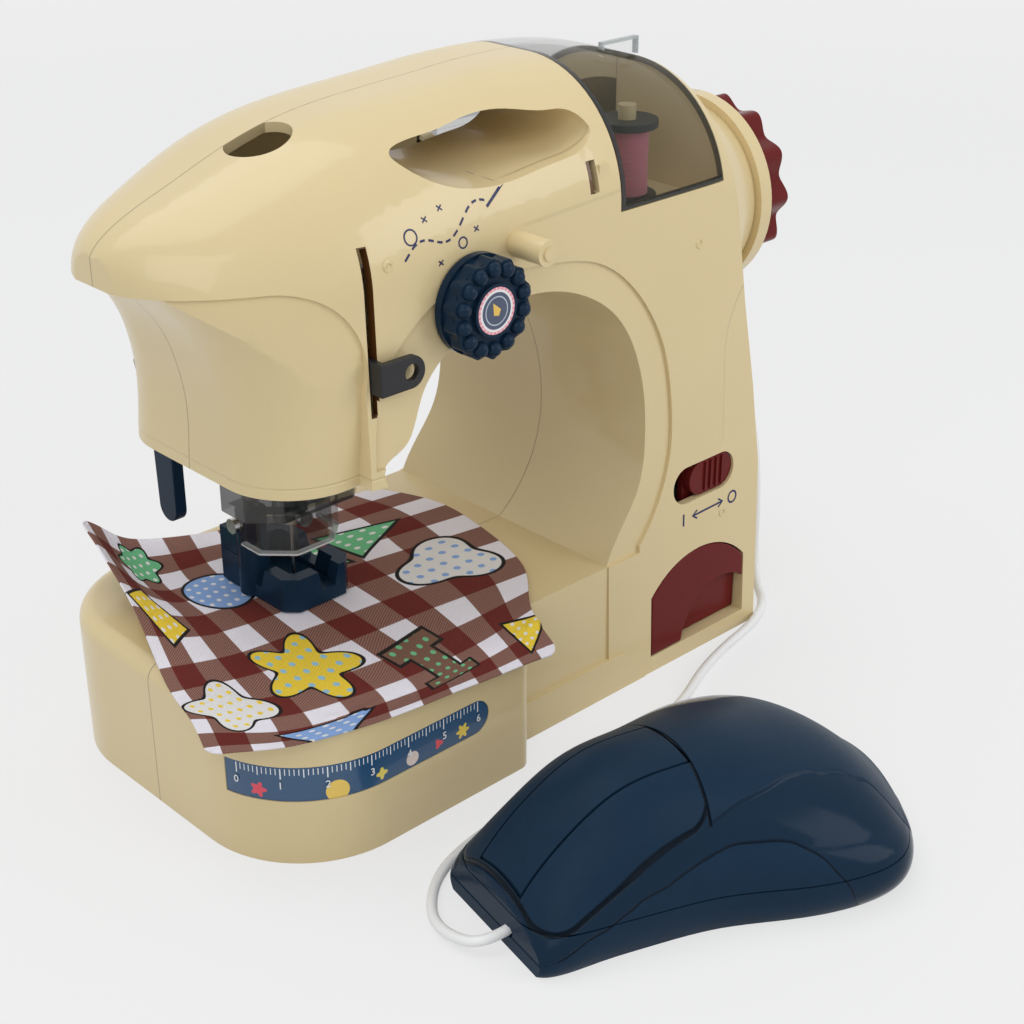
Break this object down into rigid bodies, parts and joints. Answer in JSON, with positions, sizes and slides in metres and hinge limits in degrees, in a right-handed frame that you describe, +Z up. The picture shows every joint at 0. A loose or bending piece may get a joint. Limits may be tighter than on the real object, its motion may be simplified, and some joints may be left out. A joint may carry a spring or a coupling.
{
  "type": "toy sewing machine",
  "caption": "Toy sewing machine with carrying handle, spool room under a smoked lid, handwheel, needle and presser, drawer, printed cloth and a separate foot pedal on a lead",
  "frame": {"origin": "centre of the flat underside of the machine, on the surface it stands on", "axes": "+X along the machine towards the handwheel, -Y is the front with the knob and drawer, +Z is up"},
  "size_m": [0.1915, 0.1811, 0.151],
  "materials": {
    "cream_plastic": "glossy moulded cream plastic",
    "navy_plastic": "glossy moulded dark navy plastic",
    "maroon_plastic": "glossy moulded maroon plastic",
    "smoked_plastic": "smoked see-through plastic",
    "black_plastic": "matte black plastic",
    "spool_plastic": "dark grey plastic",
    "thread": "wound pink sewing thread",
    "cloth": "printed gingham cotton",
    "label": "printed glossy label",
    "badge": "printed glossy badge",
    "lead_white": "soft white lead",
    "steel": "bright steel",
    "brass": "plain brass",
    "belt_rubber": "black rubber",
    "inner_plastic": "plain off-white plastic",
    "cell_wrap": "plain wrapped dry cell"
  },
  "bodies": {
    "housing": {"front_shell": "cream_plastic", "back_shell": "cream_plastic", "bottom_plate": "cream_plastic", "battery_door": "cream_plastic", "battery_tray": "inner_plastic", "batteries": "cell_wrap", "battery_contacts": "steel", "needle_plate": "steel", "shaft_bushes": "inner_plastic", "motor": "steel", "drive_belt": "belt_rubber", "lower_bushes": "inner_plastic", "presser_spring": "steel", "head_frame": "black_plastic", "shaft_bracket": "inner_plastic", "motor_bracket": "inner_plastic", "switch_case": "black_plastic", "rule_label": "label", "cloth": "cloth", "needle_guard": "smoked_plastic", "knob_clip": "inner_plastic", "housing_screws": "steel", "pedal_socket": "black_plastic", "pedal_plug": "lead_white", "pedal_lead": "lead_white", "pedal_base": "navy_plastic", "pedal_top": "navy_plastic", "pedal_switch": "black_plastic", "pedal_spring": "steel", "pedal_screws": "steel"},
    "drive": {"main_shaft": "steel", "handwheel": "maroon_plastic", "drive_gear": "inner_plastic", "upper_pulley": "inner_plastic", "crank_disc": "inner_plastic"},
    "motor_spindle": {"motor_rotor": "steel", "motor_pinion": "brass"},
    "lower_drive": {"lower_shaft": "steel", "lower_pulley": "inner_plastic", "looper_hook": "steel"},
    "needle_group": {"needle_bar": "steel", "needle_yoke": "black_plastic", "thread_lever": "black_plastic", "needle_clamp": "steel", "clamp_screw": "steel", "needle": "steel"},
    "presser_group": {"presser_bar": "steel", "lift_link": "black_plastic", "presser_foot": "navy_plastic", "foot_screw": "steel"},
    "lifter": {"lifter_lever": "navy_plastic"},
    "lid": {"spool_lid": "smoked_plastic"},
    "spool_group": {"spool": "spool_plastic", "spool_thread": "thread"},
    "knob": {"tension_knob": "navy_plastic", "knob_badge": "badge"},
    "slider": {"switch_slider": "maroon_plastic"},
    "drawer_box": {"drawer": "maroon_plastic"},
    "button": {"pedal_button": "navy_plastic"}
  },
  "joints": [
    {"name": "handwheel_turn", "type": "hinge", "parent": "housing", "child": "drive", "pos_m": [0, 0, 0.1056], "axis": [1, 0, 0], "continuous": true},
    {"name": "motor_spin", "type": "hinge", "parent": "housing", "child": "motor_spindle", "pos_m": [0, 0, 0.0876], "axis": [1, 0, 0], "continuous": true},
    {"name": "lower_spin", "type": "hinge", "parent": "housing", "child": "lower_drive", "pos_m": [0, 0, 0.026], "axis": [1, 0, 0], "continuous": true},
    {"name": "needle_stroke", "type": "slide", "parent": "housing", "child": "needle_group", "axis": [0, 0, 1], "range_m": [-0.0047, 0.0102]},
    {"name": "lifter_turn", "type": "hinge", "parent": "housing", "child": "lifter", "pos_m": [-0.0475, 0.036, 0.084], "axis": [1, 0, 0], "range_deg": [0, 90]},
    {"name": "presser_lift", "type": "slide", "parent": "housing", "child": "presser_group", "axis": [0, 0, 1], "range_m": [0, 0.005], "deforming": ["presser_spring"]},
    {"name": "lid_hinge", "type": "hinge", "parent": "housing", "child": "lid", "pos_m": [0.0455, 0.037, 0.1208], "axis": [-1, 0, 0], "range_deg": [0, 100]},
    {"name": "spool_spin", "type": "hinge", "parent": "housing", "child": "spool_group", "pos_m": [0.046, -0.0194, 0.1163], "axis": [0, 0, 1], "continuous": true},
    {"name": "knob_turn", "type": "hinge", "parent": "housing", "child": "knob", "pos_m": [-0.0163, -0.0356, 0.1109], "axis": [0, -1, 0], "range_deg": [-150, 150]},
    {"name": "switch_slide", "type": "slide", "parent": "housing", "child": "slider", "axis": [-1, 0, 0], "range_m": [0, 0.006]},
    {"name": "drawer_slide", "type": "slide", "parent": "housing", "child": "drawer_box", "axis": [0, -1, 0], "range_m": [0, 0.02]},
    {"name": "pedal_press", "type": "hinge", "parent": "housing", "child": "button", "pos_m": [-0.01821, -0.0922, 0.0268], "axis": [-0.2011, -0.9796, 0], "range_deg": [0, 3], "stiffness_Nm_per_rad": 0.3, "springref_deg": -2.86, "deforming": ["pedal_spring"]}
  ],
  "couplings": [
    {"joint": "motor_spin", "follows": "handwheel_turn", "ratio": -3.5},
    {"joint": "lower_spin", "follows": "handwheel_turn", "ratio": 1},
    {"joint": "lifter_turn", "follows": "presser_lift", "rad_per_m": 314.16}
  ]
}
